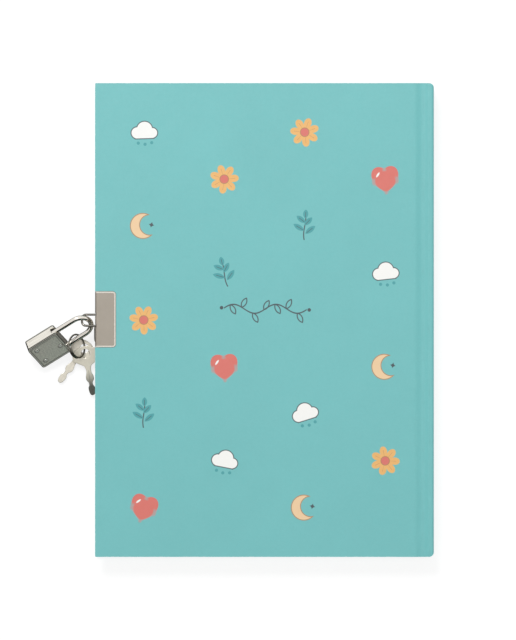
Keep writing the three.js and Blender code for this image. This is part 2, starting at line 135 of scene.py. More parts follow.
# Key ring
RING_WIRE = 0.8
RING_RADIUS = 5.2
RING_OVERLAP = 110.0
RING_STEP = 0.95
RING_START = -66.0
RING_CENTRE = Vector((-83.94, -11.68, 7.17))
RING_NORMAL = Vector((1.0, 0.19, 0.69)).normalized()

# Keys
KEY_THICKNESS = 0.8
KEY_HOLE = 2.05
KEY_HALF_WIDTH = 6.2
KEY_TOP = 3.4
KEY_NECK = 6.2
KEY_LENGTH = 19.1
KEY_WAIST = 1.05
KEY_BITS = ((1.8, 7.8), (0.78, 5.2), (1.45, 3.2))
KEY_EDGE = 0.16
KEY_PLACES = {
    "key_1": {"hole": (-80.39, -15.07, 4.26), "heading": 9.4, "pitch": 6.0, "roll": -5.8},
    "key_2": {"hole": (-80.95, -12.77, 1.84), "heading": -37.0, "pitch": -0.1, "roll": 0.0},
}

# Camera: straight above the rear cover, so that it fills the picture as in the photograph
PICTURE_HEIGHT = 286.3
PICTURE_CENTRE_X = -2.9
LENS = 300.0
SENSOR = 36.0

# Set, in metres and degrees: the floor, and a dark card that shows only in reflections
FLOOR_HALF = 6.0
FLOOR_DROP = 0.00005
FLOOR_GLOW = 1.14
FLOOR_GLOW_SHARE = 0.72
WORLD_LIGHT = 0.46
CARD_RADIUS = 0.55
CARD_HEIGHT = 1.2
CARD_FROM = -130
CARD_TURN = 95
CARD_STEPS = 24
CARD_FOOT_X = (-0.34, -0.077)
CARD_FOOT_Y = (-0.34, 0.02)

# Edges sharper than the first angle are eased, faces within the second of each other are
# joined, and points closer than the last, in metres, are one
EASED_ANGLE = math.radians(28)
FLAT_ANGLE = math.radians(1)
SAME_POINT = 1e-7


def srgb(red, green, blue):
    """A colour of the photograph's 0 to 255 scale as linear light."""
    light = []
    for value in (red, green, blue):
        value /= 255
        light.append(value / 12.92 if value <= 0.04045 else ((value + 0.055) / 1.055) ** 2.4)
    return (*light, 1.0)


# Inks and finishes
TURQUOISE = srgb(102, 184, 184)
GOLD_INK = srgb(232, 176, 98)
TEAL_INK = srgb(48, 150, 154)
SLATE_INK = srgb(34, 52, 58)
CORAL_INK = srgb(212, 104, 92)
PEACH_INK = srgb(236, 201, 156)
BROWN_INK = srgb(168, 118, 74)
WHITE_INK = srgb(246, 246, 242)


# Shader maths

class Signal:
    """A value inside one material or world, with arithmetic that adds its nodes."""

    def __init__(self, paint, socket):
        self.paint = paint
        self.socket = socket

    def maths(self, operation, *others):
        return self.paint.add("Math", {"operation": operation}, [self, *others])

    def __add__(self, other):
        return self.maths("ADD", other)

    __radd__ = __add__

    def __mul__(self, other):
        return self.maths("MULTIPLY", other)

    __rmul__ = __mul__

    def __sub__(self, other):
        return self.maths("SUBTRACT", other)

    def __rsub__(self, other):
        return self.paint.add("Math", {"operation": "SUBTRACT"}, [other, self])

    def __truediv__(self, other):
        return self.maths("DIVIDE", other)

    def __neg__(self):
        return self * -1

    def __abs__(self):
        return self.maths("ABSOLUTE")

    def low(self, other):
        return self.maths("MINIMUM", other)

    def high(self, other):
        return self.maths("MAXIMUM", other)

    def power(self, other):
        return self.maths("POWER", other)

    def root(self):
        return self.maths("SQRT")

    def sine(self):
        return self.maths("SINE")

    def cosine(self):
        return self.maths("COSINE")

    def floor(self):
        return self.maths("FLOOR")

    def wrapped(self, high):
        return self.maths("WRAP", high, 0.0)

    def near(self, value, width=0.5):
        return self.maths("COMPARE", value, width)

    def below(self, value):
        return self.maths("LESS_THAN", value)

    def ramp(self, start, end, to=(0.0, 1.0), smooth=True):
        settings = {"interpolation_type": "SMOOTHSTEP" if smooth else "LINEAR"}
        return self.paint.add("MapRange", settings, [self, start, end, *to])


class Paint:
    """The nodes of one material or world, which are added by one method."""

    def __init__(self, holder):
        self.holder = holder
        holder.use_nodes = True
        self.tree = holder.node_tree
        self.tree.nodes.clear()

    def add(self, kind, settings=None, inputs=(), output=0):
        node = self.tree.nodes.new("ShaderNode" + kind)
        for name, value in (settings or {}).items():
            setattr(node, name, value)
        pairs = inputs.items() if isinstance(inputs, dict) else enumerate(inputs)
        for name, value in pairs:
            if value is None:
                continue
            if isinstance(value, Signal):
                self.tree.links.new(value.socket, node.inputs[name])
            else:
                node.inputs[name].default_value = value
        if isinstance(output, (list, tuple)):
            return [Signal(self, node.outputs[name]) for name in output]
        return Signal(self, node.outputs[output])

    def show(self, surface, kind="Material"):
        """Ends the tree in its output node."""
        output = self.tree.nodes.new("ShaderNodeOutput" + kind)
        self.tree.links.new(surface.socket, output.inputs["Surface"])
        return self.holder

    def seen(self):
        """1 for what the camera, a mirror or glass sees, and 0 for what only lights the object."""
        rays = ("Is Camera Ray", "Is Glossy Ray", "Is Transmission Ray")
        camera, glossy, through = self.add("LightPath", output=rays)
        return camera.high(glossy).high(through)

    def place(self):
        """Object coordinates, in millimetres, as one vector."""
        spot = self.add("TexCoord", output="Object")
        return self.add("VectorMath", {"operation": "SCALE"}, {0: spot, "Scale": 1 / MM})

    def split(self, vector):
        return self.add("SeparateXYZ", inputs=[vector], output=("X", "Y", "Z"))

    def join(self, x=0.0, y=0.0, z=0.0):
        return self.add("CombineXYZ", inputs=[x, y, z])

    def noise(self, vector, scale, detail=2.0, roughness=0.5):
        return self.add(
            "TexNoise",
            {"noise_dimensions": "3D"},
            {"Vector": vector, "Scale": scale, "Detail": detail, "Roughness": roughness},
        )

    def mix(self, share, first, second):
        return self.add(
            "Mix",
            {"data_type": "RGBA"},
            {"Factor": share, 6: first, 7: second},
            output=2,
        )

    def shade(self, share, colour, amount):
        """A colour made lighter or darker: share 0.5 leaves it, 0 and 1 move it by amount."""
        light = share.ramp(0.0, 1.0, (1 - amount, 1 + amount), smooth=False)
        grey = self.join(light, light, light)
        return self.add(
            "Mix",
            {"data_type": "RGBA", "blend_type": "MULTIPLY"},
            {"Factor": 1.0, 6: colour, 7: grey},
            output=2,
        )

    def bump(self, height, distance, strength=1.0, before=None):
        sockets = {"Height": height, "Distance": distance, "Strength": strength, "Normal": before}
        return self.add("Bump", inputs=sockets)

    def finish(self, colour, roughness, metallic=0.0, normal=None, **constants):
        shader = {
            "Base Color": colour,
            "Roughness": roughness,
            "Metallic": metallic,
            "Normal": normal,
        }
        shader.update({name.replace("_", " "): value for name, value in constants.items()})
        return self.show(self.add("BsdfPrincipled", inputs=shader))


def paint_for(name):
    return Paint(bpy.data.materials.new(name))


# Print on the covers

class Print:
    """Flat inks laid one over another on the paper's colour."""

    def __init__(self, paint, colour):
        self.paint = paint
        self.colour = colour

    def ink(self, mask, colour):
        self.colour = self.paint.mix(mask, self.colour, colour)


INK_EDGE = 0.12


def inside(distance, width=INK_EDGE):
    """1 where a distance in millimetres is below zero, with a soft edge."""
    return distance.ramp(-width, width, (1.0, 0.0))


def turned(u, v, degrees, x=0.0, y=0.0):
    cos, sin = math.cos(math.radians(degrees)), math.sin(math.radians(degrees))
    u, v = u - x, v - y
    return u * cos + v * sin, v * cos - u * sin


def ellipse(u, v, half_length, half_width):
    """Roughly the distance from an ellipse's edge."""
    radius = ((u / half_length).power(2) + (v / half_width).power(2)).root()
    return (radius - 1) * min(half_length, half_width)


def disc(u, v, x, y, radius):
    return ((u - x).power(2) + (v - y).power(2)).root() - radius


def band(distance, width):
    return abs(distance) - width / 2


def leaf(u, v, length, width):
    """A pointed leaf from 0 to length along u."""
    half = length / 2
    bow = (half * half - (width / 2) ** 2) / width
    reach = bow + width / 2
    upper = ((u - half).power(2) + (v + bow).power(2)).root() - reach
    lower = ((u - half).power(2) + (v - bow).power(2)).root() - reach
    return upper.high(lower)


def draw_daisy(u, v):
    radius = (u * u + v * v).root()
    angle = v.maths("ARCTAN2", u)
    petal = abs((angle * 3.5).cosine()).power(0.7)
    flower = radius - (3.3 + petal * 3.2)
    return [
        (inside(flower), GOLD_INK),
        (inside((radius - 4.9).high(band((angle * 3.5).sine(), 0.1) * 3)), BROWN_INK),
        (inside(radius - 1.95), CORAL_INK),
        (inside(band(radius - 1.95, 0.32)), BROWN_INK),
    ]


def draw_heart(u, v):
    x, y = u / 5.3, (v + 0.9) / 5.3
    square = x * x + y * y - 1
    shape = square * square * square - x * x * y * y * y
    gleam_u, gleam_v = turned(u, v, 52, -3.1, 2.2)
    return [
        (inside(shape, 0.05), CORAL_INK),
        (inside(ellipse(gleam_u, gleam_v, 1.25, 0.42)), WHITE_INK),
    ]


def draw_sprig(u, v):
    marks = []
    stem = band(u - (v * 0.35).sine() * 0.7, 0.5).high(abs(v + 0.4) - 5.8)
    marks.append((inside(stem), SLATE_INK))
    for degrees, x, y, length in (
        (35, 0.1, -3.4, 5.6),
        (145, -0.4, -2.0, 5.6),
        (42, -0.1, 0.4, 4.9),
        (138, 0.3, 1.5, 4.9),
        (84, 0.5, 3.4, 4.0),
    ):
        a, b = turned(u, v, degrees, x, y)
        marks.append((inside(leaf(a, b, length, 2.3)), TEAL_INK))
        marks.append((inside(band(b, 0.22).high(abs(a - length * 0.42) - length * 0.3)), SLATE_INK))
    return marks


def draw_cloud(u, v):
    puffs = disc(u, v, -3.0, -0.2, 2.7)
    puffs = puffs.low(disc(u, v, 0.4, 1.3, 3.6))
    puffs = puffs.low(disc(u, v, 3.8, -0.4, 2.4))
    body = puffs.low((abs(u - 0.3) - 4.2).high(abs(v + 1.6) - 1.4)).high(-2.9 - v)
    drops = None
    for x, y in ((-2.6, -4.8), (0.4, -5.4), (3.4, -4.8)):
        drop = disc(u, v, x, y, 0.72)
        drops = drop if drops is None else drops.low(drop)
    return [
        (inside(body), WHITE_INK),
        (inside(band(body, 0.42)), SLATE_INK),
        (inside(drops), TEAL_INK),
    ]


def draw_moon(u, v):
    whole = disc(u, v, -0.4, 0, 5.6)
    crescent = whole.high(-disc(u, v, 2.5, 1.2, 4.6))
    spark_u, spark_v = abs(u - 3.2), abs(v - 1.4)
    spark = (spark_u + 0.04).power(0.6) + (spark_v + 0.04).power(0.6) - 1.35
    return [
        (inside(crescent), PEACH_INK),
        (inside(band(crescent, 0.36)), BROWN_INK),
        (inside(spark, 0.1), SLATE_INK),
    ]


MOTIFS = (draw_daisy, draw_cloud, draw_sprig, draw_moon, draw_heart)
COLUMN_STEP = 36.0
ROW_STEP = 42.0
FIRST_COLUMN_X = -54.0
BARE_HALF_WIDTH = 24.0
BARE_HALF_HEIGHT = 12.0
PRINT_HALF_WIDTH = 60.0
PRINT_HALF_HEIGHT = 90.0


def print_motifs(paint, sheet, x, y):
    """Small motifs in four columns, each second column dropped by half a step."""
    column = ((x - FIRST_COLUMN_X) / COLUMN_STEP + 0.5).floor()
    odd = column.wrapped(2.0)
    row = ((y - odd * (ROW_STEP / 2)) / ROW_STEP + 0.5).floor()
    centre_x = column * COLUMN_STEP + FIRST_COLUMN_X
    centre_y = row * ROW_STEP + odd * (ROW_STEP / 2)
    kind = (column * 2 + row * 3 + 20).wrapped(float(len(MOTIFS)))
    chance = paint.add("TexWhiteNoise", {"noise_dimensions": "2D"}, [paint.join(column, row)])
    lean = (chance - 0.5) * 0.7
    dx, dy = x - centre_x, y - centre_y
    u = dx * lean.cosine() + dy * lean.sine()
    v = dy * lean.cosine() - dx * lean.sine()
    bare = abs(centre_x).below(BARE_HALF_WIDTH) * abs(centre_y).below(BARE_HALF_HEIGHT)
    whole = abs(centre_y).below(PRINT_HALF_HEIGHT) * abs(centre_x).below(PRINT_HALF_WIDTH)
    whole = whole * (1 - bare)
    for number, draw in enumerate(MOTIFS):
        here = kind.near(float(number)) * whole
        for mask, ink in draw(u, v):
            sheet.ink(mask * here, ink)


FLOURISH_X = 0.4
FLOURISH_Y = 5.0
STEM_HALF = 18.5
STEM_WIDTH = 0.62
STEM_WAVE = 0.33
STEM_HEIGHT = 2.0
STEM_LEAVES = 7
FIRST_LEAF_X = -15.6
LEAF_STEP = 5.0
LEAF_LEAN = 62


def print_flourish(sheet, x, y):
    """A thin waving stem with small leaves, in the middle of the cover."""
    x, y = x - FLOURISH_X, y - FLOURISH_Y
    wave = (x * STEM_WAVE).sine() * STEM_HEIGHT
    marks = band(y - wave, STEM_WIDTH).high(abs(x) - STEM_HALF)
    for number in range(STEM_LEAVES):
        foot_x = FIRST_LEAF_X + number * LEAF_STEP
        foot_y = math.sin(foot_x * STEM_WAVE) * STEM_HEIGHT
        lean = LEAF_LEAN if number % 2 else -LEAF_LEAN
        a, b = turned(x, y, lean, foot_x, foot_y)
        marks = marks.low(band(leaf(a, b, 4.6, 2.0), 0.5))
    for foot_x, foot_y in ((-19.6, 0.5), (19.6, -0.5)):
        marks = marks.low(disc(x, y, foot_x, foot_y, 0.8))
    sheet.ink(inside(marks), SLATE_INK)


WEAR = 0.4


def laminate(name, printed=False):
    """Printed paper under a satin film: faint mottling, a shallow grain and paler worn edges."""
    paint = paint_for(name)
    place = paint.place()
    x, y, z = paint.split(place)
    cloudy = paint.noise(place, 0.035, 3.0, 0.6)
    fleck = paint.noise(place, 0.9, 3.0, 0.65)
    colour = paint.shade(cloudy, TURQUOISE, 0.05)
    colour = paint.shade(fleck, colour, 0.045)
    if printed:
        sheet = Print(paint, colour)
        print_motifs(paint, sheet, x, y)
        print_flourish(sheet, x, y)
        outer = (abs(z - BOOK_TOP / 2) - (BOOK_TOP / 2 - 0.12)).ramp(-0.02, 0.0)
        colour = paint.mix(outer, colour, sheet.colour)
    side = (abs(x) - SPINE_X).ramp(-WEAR, 0.0)
    end = (abs(y) - HEAD_Y).ramp(-WEAR, 0.0)
    face = (abs(z - BOOK_TOP / 2) - BOOK_TOP / 2).ramp(-WEAR, 0.0)
    rubbed = side.low(end).high(side.low(face)).high(end.low(face))
    wear = rubbed * paint.noise(place, 0.6, 4.0, 0.7).ramp(0.42, 0.7)
    colour = paint.mix(wear * 0.4, colour, WHITE_INK)
    grain = paint.noise(place, 2.4, 4.0, 0.6)
    sag = paint.noise(place, 0.05, 1.0)
    normal = paint.bump(grain, 0.00004, 0.5, paint.bump(sag, 0.0006, 0.25))
    roughness = paint.noise(place, 0.5, 3.0).ramp(0.3, 0.7, (0.44, 0.56))
    return paint.finish(colour, roughness, normal=normal, Specular_IOR_Level=0.9)


def paper(name, colour, ruled=False):
    """Uncoated paper with a fine tooth; writing paper carries faint ruled lines."""
    paint = paint_for(name)
    place = paint.place()
    x, y = paint.split(place)[:2]
    fibre = paint.noise(place, 1.6, 4.0, 0.7)
    tone = paint.shade(fibre, colour, 0.04)
    tone = paint.shade(paint.noise(place, 0.02, 2.0), tone, 0.04)
    if ruled:
        level = (y / RULE_STEP + 0.5).wrapped(1.0) - 0.5
        facing = abs(paint.split(paint.add("TexCoord", output="Normal"))[2]).ramp(0.8, 0.95)
        body = abs(x).below(RULED_HALF_WIDTH) * abs(y).below(RULED_HALF_HEIGHT)
        line = inside(abs(level) * RULE_STEP - RULE_WIDTH / 2, 0.1) * facing * body
        tone = paint.mix(line * 0.6, tone, srgb(150, 190, 190))
    normal = paint.bump(fibre, 0.00003, 0.6)
    return paint.finish(tone, 0.86, normal=normal, Specular_IOR_Level=0.25)


def greyboard():
    paint = paint_for("grey_board")
    place = paint.place()
    fibre = paint.noise(place, 0.8, 6.0, 0.75)
    colour = paint.shade(fibre, srgb(158, 150, 138), 0.22)
    normal = paint.bump(fibre, 0.0001, 0.8)
    return paint.finish(colour, 0.92, normal=normal, Specular_IOR_Level=0.2)


def gauze():
    """Open woven lining, stiff with glue."""
    paint = paint_for("spine_gauze")
    y, z = paint.split(paint.place())[1:]
    warp = abs((y * 3.4).sine())
    weft = abs((z * 3.4).sine())
    thread = warp.high(weft).ramp(0.55, 0.9)
    colour = paint.mix(thread, srgb(196, 184, 152), srgb(232, 226, 208))
    return paint.finish(colour, 0.9, normal=paint.bump(thread, 0.0001, 0.7))


def woven_band():
    """Striped band: turquoise and white threads wound over a core."""
    paint = paint_for("striped_band")
    z = paint.split(paint.place())[2]
    stripe = (z / 1.6).wrapped(1.0).ramp(0.42, 0.58)
    thread = abs((z * 11.0).sine())
    colour = paint.mix(stripe, srgb(70, 160, 160), srgb(238, 236, 228))
    # Painted shade and highlight: each thread lighter on its crown and darker in the gaps between
    # threads
    colour = paint.shade(thread, colour, 0.12)
    return paint.finish(colour, 0.7, normal=paint.bump(thread, 0.00008, 0.7))


def scratches(paint, place, along, count, thin):
    """Fine lines that run in the direction in which along is smallest."""
    stretched = paint.add("VectorMath", {"operation": "MULTIPLY"}, [place, along])
    return paint.noise(stretched, count, 3.0, 0.65).ramp(thin, thin + 0.25)


def clasp_nickel():
    """Satin plate with a fine tooth, and a painted highlight along its edges: a bright, smoother
    rim.
    """
    paint = paint_for("satin_nickel")
    place = paint.place()
    x, y = paint.split(place)[:2]
    tooth = paint.noise(place, 5.0, 3.0, 0.6)
    drift = paint.noise(place, 0.25, 2.0)
    colour = paint.shade(drift, srgb(146, 139, 129), 0.06)
    colour = paint.shade(tooth, colour, 0.05)
    end = FORE_X + CLIP_DEPTH
    across = (x - (end - CLIP_CORNER)).high(0.0)
    along = (abs(y - CLIP_MIDDLE_Y) - (CLIP_HALF_Y - CLIP_CORNER)).high(0.0)
    rim = (across * across + along * along).root() - CLIP_CORNER
    # Painted highlight: a bright band just inside the plate's rim, which is also made smoother
    # below
    rim_highlight = inside(band(rim + 0.42, 0.5), 0.12)
    colour = paint.mix(rim_highlight * 0.75, colour, srgb(226, 220, 210))
    roughness = tooth.ramp(0.3, 0.7, (0.34, 0.46)) - rim_highlight * 0.16
    normal = paint.bump(tooth, 0.00003, 0.35)
    return paint.finish(colour, roughness, 0.92, normal=normal)


def plated(name, colour, roughness, spread=0.06, tooth=3.0, depth=0.00002, metallic=1.0):
    """Plated metal with small cloudy stains and handling marks."""
    paint = paint_for(name)
    place = paint.place()
    cloudy = paint.noise(place, 0.45, 4.0, 0.65)
    fine = paint.noise(place, tooth, 3.0, 0.6)
    tone = paint.shade(cloudy, colour, spread)
    gloss = cloudy.ramp(0.25, 0.75, (roughness * 0.75, roughness * 1.25))
    normal = paint.bump(fine, depth, 0.3)
    return paint.finish(tone, gloss, metallic, normal=normal)


def lock_face():
    """Dark nickel plate, speckled all over, with painted shade as dark lines at its edge, along its
    sunk border and round its rivets, and a painted highlight just inside its edge.
    """
    paint = paint_for("pitted_dark_nickel")
    place = paint.place()
    x, y, z = paint.split(place)
    cloudy = paint.noise(place, 0.5, 5.0, 0.7)
    pits = paint.noise(place, 2.6, 4.0, 0.7)
    speckle = paint.noise(place, 1.7, 5.0, 0.8).ramp(0.36, 0.64)
    colour = paint.shade(cloudy, srgb(199, 200, 188), 0.14)
    colour = paint.shade(pits, colour, 0.14)
    colour = paint.shade(speckle, colour, 0.24)
    edge = (abs(x) - LOCK_WIDTH / 2).high(abs(y) - LOCK_HEIGHT / 2)
    # Painted shade: a dark line along the outermost part of the plate, where it meets the band,
    # fainter on the plate's side
    outline = inside(-(edge + 0.3), 0.08)
    lip = inside(band(abs(z) - (LOCK_DEPTH / 2 - LOCK_PLATE / 2), 0.2), 0.05)
    # Painted highlight: a paler band just inside the plate's edge
    rim = inside(band(edge + 0.55, 0.3), 0.08)
    # Painted shade: a dark line along the step of the sunk border
    groove = inside(band(edge + LOCK_BORDER - 0.1, 0.36), 0.1)
    # Painted shade: dark rings round the rivet heads
    rings = None
    for rivet_x, rivet_y in RIVETS:
        ring = band(disc(x, y, rivet_x, rivet_y, RIVET_HEAD + 0.15), 0.3)
        rings = ring if rings is None else rings.low(ring)
    colour = paint.mix(rim * 0.4, colour, srgb(206, 204, 196))
    colour = paint.mix(groove * 0.75, colour, srgb(70, 72, 66))
    colour = paint.mix(inside(rings, 0.1) * 0.75, colour, srgb(60, 61, 56))
    colour = paint.mix(outline * (1 - lip * 0.7) * 0.85, colour, srgb(44, 41, 35))
    roughness = cloudy.ramp(0.3, 0.7, (0.3, 0.44))
    normal = paint.bump(pits, 0.00006, 0.4)
    return paint.finish(colour, roughness, 0.45, normal=normal)


def lock_side():
    """Polished band round the case, drawn in long lines, with painted shade as dark seams at both
    plates and as a duller grey along its top next to the shackle.
    """
    paint = paint_for("polished_nickel_band")
    place = paint.place()
    y, z = paint.split(place)[1:]
    lines = scratches(paint, place, (1.4, 0.06, 1.4), 1.6, 0.45)
    streak = scratches(paint, place, (0.5, 0.02, 0.5), 1.0, 0.5)
    colour = paint.mix(lines * 0.4, srgb(232, 228, 218), srgb(182, 176, 162))
    colour = paint.mix(streak * 0.3, colour, srgb(252, 250, 245))
    # Painted shade: the top of the band next to the shackle is a duller, less metallic mid grey
    shaded_shoulder = inside(LOCK_HEIGHT / 2 - 0.12 - y, 0.05)
    colour = paint.mix(shaded_shoulder * 0.6, colour, srgb(128, 124, 114))
    plate_z = LOCK_DEPTH / 2 - LOCK_PLATE
    # Painted shade: dark lines in the seams where the band meets the front and back plates
    seam_shade = inside(band(z - (plate_z - 0.25), 0.6), 0.1)
    seam_shade = seam_shade.high(inside(band(z + (plate_z - 0.1), 0.25), 0.1))
    colour = paint.mix(seam_shade * 0.93, colour, srgb(42, 38, 32))
    roughness = lines.ramp(0.0, 1.0, (0.16, 0.28))
    normal = paint.bump(lines, 0.00001, 0.3)
    return paint.finish(colour, roughness, 1 - shaded_shoulder * 0.85, normal=normal)


def key_nickel(name, colour, blade_colour, tip_darkening):
    """Thin nickel over brass: warm on the bow, and darker towards the blade's tip."""
    paint = paint_for(name)
    place = paint.place()
    x, y = paint.split(place)[:2]
    cloudy = paint.noise(place, 0.4, 4.0, 0.65)
    fine = paint.noise(place, 3.0, 4.0, 0.65)
    tone = paint.shade(cloudy, colour, 0.08)
    tone = paint.shade(fine, tone, 0.05)
    # Darker towards the blade's tip, by this key's given share
    tip = (-y).ramp(8.0, 15.0, smooth=False)
    tone = paint.mix(tip * tip_darkening, tone, blade_colour)
    centre = inside(band(x + (y * 0.4).sine() * 0.15, 0.34).high(y + KEY_NECK + 1.4), 0.12)
    tone = paint.mix(centre * 0.35, tone, blade_colour)
    wear = (x * x + y * y).root().ramp(KEY_HOLE + 0.1, KEY_HOLE + 0.8, (1.0, 0.0))
    tone = paint.mix(wear * 0.5, tone, srgb(232, 226, 214))
    roughness = cloudy.ramp(0.3, 0.7, (0.3, 0.42))
    normal = paint.bump(fine, 0.00003, 0.35)
    return paint.finish(tone, roughness, 0.9, normal=normal)


# Mesh work

def set_in(piece, body, replaced=(), own=None):
    """Puts a piece on its body, by the matrix of its own frame if it was made in one."""
    if own is not None:
        piece.matrix_world = own
    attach(piece, body)
    if replaced:
        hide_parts(*replaced)
    return piece


def new_object(name, mesh, material, body=None, replaced=(), sharp=32.0):
    mesh.shade_smooth()
    mesh.set_sharp_from_angle(angle=math.radians(sharp))
    mesh.materials.append(material)
    piece = bpy.data.objects.new(name, mesh)
    bpy.context.scene.collection.objects.link(piece)
    level = piece.modifiers.new("level", "WEIGHTED_NORMAL")
    level.keep_sharp = True
    return set_in(piece, body, replaced) if body else piece


def mesh_of(name, points, faces):
    mesh = bpy.data.meshes.new(name)
    mesh.from_pydata([Vector(point) * MM for point in points], [], faces)
    mesh.update()
    return mesh


def mesh_from(name, work):
    bmesh.ops.recalc_face_normals(work, faces=work.faces)
    mesh = bpy.data.meshes.new(name)
    work.to_mesh(mesh)
    work.free()
    return mesh


def tube(name, path, radius, sides=24, cap=4):
    """A round wire along a path of points, with rounded ends."""
    last = len(path) - 1
    tangents = [
        (path[min(i + 1, last)] - path[max(i - 1, 0)]).normalized() for i in range(last + 1)
    ]
    side = tangents[0].orthogonal().normalized()
    rings = [(path[0], tangents[0], side, radius)]
    for i in range(1, last + 1):
        turn = tangents[i - 1].rotation_difference(tangents[i])
        side = (turn @ side).normalized()
        rings.append((path[i], tangents[i], side, radius))
    starts, ends = [], []
    for k in range(1, cap + 1):
        angle = k / cap * math.pi / 2
        shrink, out = math.cos(angle) * radius, math.sin(angle) * radius
        shrink = max(shrink, radius * 0.02)
        starts.insert(0, (path[0] - tangents[0] * out, tangents[0], rings[0][2], shrink))
        ends.append((path[-1] + tangents[-1] * out, tangents[-1], rings[-1][2], shrink))
    rings = starts + rings + ends
    points, faces = [], []
    for centre, tangent, side, size in rings:
        other = tangent.cross(side)
        for k in range(sides):
            angle = 2 * math.pi * k / sides
            points.append(centre + (side * math.cos(angle) + other * math.sin(angle)) * size)
    for i in range(len(rings) - 1):
        a, b = i * sides, (i + 1) * sides
        for k in range(sides):
            n = (k + 1) % sides
            faces.append((a + k, b + k, b + n, a + n))
    faces.append(tuple(range(sides)))
    faces.append(tuple(range(len(points) - 1, len(points) - 1 - sides, -1)))
    work = bmesh.new()
    work.from_mesh(mesh_of(name, points, faces))
    return mesh_from(name, work)


def circle(x, y, radius, count=40):
    angles = [2 * math.pi * k / count for k in range(count)]
    return [(x + radius * math.cos(angle), y + radius * math.sin(angle)) for angle in angles]


def rounded_path(corners, radii, steps=10):
    """Straight runs through the corners, each inner corner eased by its radius."""
    path = [corners[0]]
    for i, radius in enumerate(radii, start=1):
        here = corners[i]
        start = here + (corners[i - 1] - here).normalized() * radius
        end = here + (corners[i + 1] - here).normalized() * radius
        straight = (start - path[-1]).length
        pieces = max(1, int(straight / 0.5))
        path += [path[-1].lerp(start, k / pieces) for k in range(1, pieces + 1)]
        for k in range(1, steps + 1):
            t = k / steps
            path.append(start * (1 - t) ** 2 + here * 2 * t * (1 - t) + end * t * t)
    path.append(corners[-1])
    return path


def refined(node, name, material, width, segments=2, pick=None, sharp=40.0, own=None):
    """A copy of a CAD piece with eased edges, which stands for it.

    With own, its mesh is kept in that frame, so that its finish follows its edges."""
    source = frame["nodes"][node]
    work = bmesh.new()
    work.from_mesh(source.data)
    if own is not None:
        bmesh.ops.transform(work, matrix=own.inverted(), verts=work.verts)
    bmesh.ops.remove_doubles(work, verts=work.verts, dist=SAME_POINT)
    bmesh.ops.dissolve_limit(work, angle_limit=FLAT_ANGLE, verts=work.verts, edges=work.edges)
    edges = [
        edge
        for edge in work.edges
        if len(edge.link_faces) == 2
        and edge.calc_face_angle(0.0) > EASED_ANGLE
        and (pick is None or pick(edge))
    ]
    bmesh.ops.bevel(
        work,
        geom=edges,
        offset=width * MM,
        offset_type="OFFSET",
        segments=segments,
        profile=0.5,
        affect="EDGES",
        clamp_overlap=True,
    )
    piece = new_object(name, mesh_from(name, work), material, sharp=sharp)
    return set_in(piece, source["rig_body"], [node], own)


def lock_matrix():
    """The padlock's own frame, from the directions of its joints."""
    across = Vector(JOINTS["bolt_slide"]["axis"])
    along = Vector(JOINTS["ring_swing"]["axis"])
    out = -Vector(JOINTS["shackle_open"]["axis"])
    pin = Vector(JOINTS["shackle_open"]["pos_m"])
    origin = pin - (across * -LEG_X + along * PIN_Y) * MM
    matrix = Matrix((across, along, out)).transposed().to_4x4()
    matrix.translation = origin
    return matrix


LOCK = lock_matrix()


# Camera

def place_camera():
    camera = bpy.data.cameras.new("camera")
    camera.lens = LENS
    camera.sensor_width = SENSOR
    camera.clip_start = 0.01
    camera.clip_end = 20.0
    eye = bpy.data.objects.new("camera", camera)
    distance = PICTURE_HEIGHT * LENS / SENSOR
    eye.location = Vector((PICTURE_CENTRE_X, 0.0, BOOK_TOP + distance)) * MM
    bpy.context.scene.collection.objects.link(eye)
    bpy.context.scene.camera = eye


# Covers

LAMINATE = laminate("turquoise_laminate")
PRINTED = laminate("printed_turquoise_laminate", printed=True)


ON_FACE = 0.02


def outer_edge(edge):
    """Edges on the outside of a cover or the spine, but not at the groove or the clasp plate."""
    for vert in edge.verts:
        x, y, z = vert.co / MM
        outside = (
            abs(abs(x) - SPINE_X) < ON_FACE
            or abs(abs(y) - HEAD_Y) < ON_FACE
            or z < ON_FACE
            or z > BOOK_TOP - ON_FACE
        )
        at_groove = abs(x - BOARD_BACK_X) < 0.05
        beside_clip = abs(y - CLIP_MIDDLE_Y) < CLIP_HALF_Y + 0.25
        at_clip = beside_clip and FORE_X - 0.1 < x < FORE_X + CLIP_DEPTH + 0.3
        if not outside or at_groove or at_clip:
            return False
    return True


def make_covers():
    for side in ("front", "rear"):
        refined(side + "_cover_paper", side + "_cover_print", PRINTED, 0.34, 3, outer_edge)
    refined("spine_paper", "spine_wrap", LAMINATE, 0.12, 2, outer_edge, sharp=45)


def eased(share):
    """0 to 1 with a level start and end."""
    return share * share * (3 - 2 * share)


def groove_profile():
    """Points across the groove, from the board to the spine, as (x, depth of face)."""
    start, end = BOARD_BACK_X, SPINE_BOARD_X
    floor_start, floor_end = start + GROOVE_SLOPE, end - GROOVE_RISE
    slope, flat, rise = 12, 5, 8
    points = []
    for k in range(slope + 1):
        t = k / slope
        points.append((start + GROOVE_SLOPE * t, GROOVE_DEPTH * eased(t)))
    for k in range(1, flat + 1):
        points.append((floor_start + (floor_end - floor_start) * k / flat, GROOVE_DEPTH))
    for k in range(1, rise + 1):
        t = k / rise
        points.append((floor_end + (end - floor_end) * t, GROOVE_DEPTH * (1 - eased(t))))
    return points


GROOVE_ROWS = 9


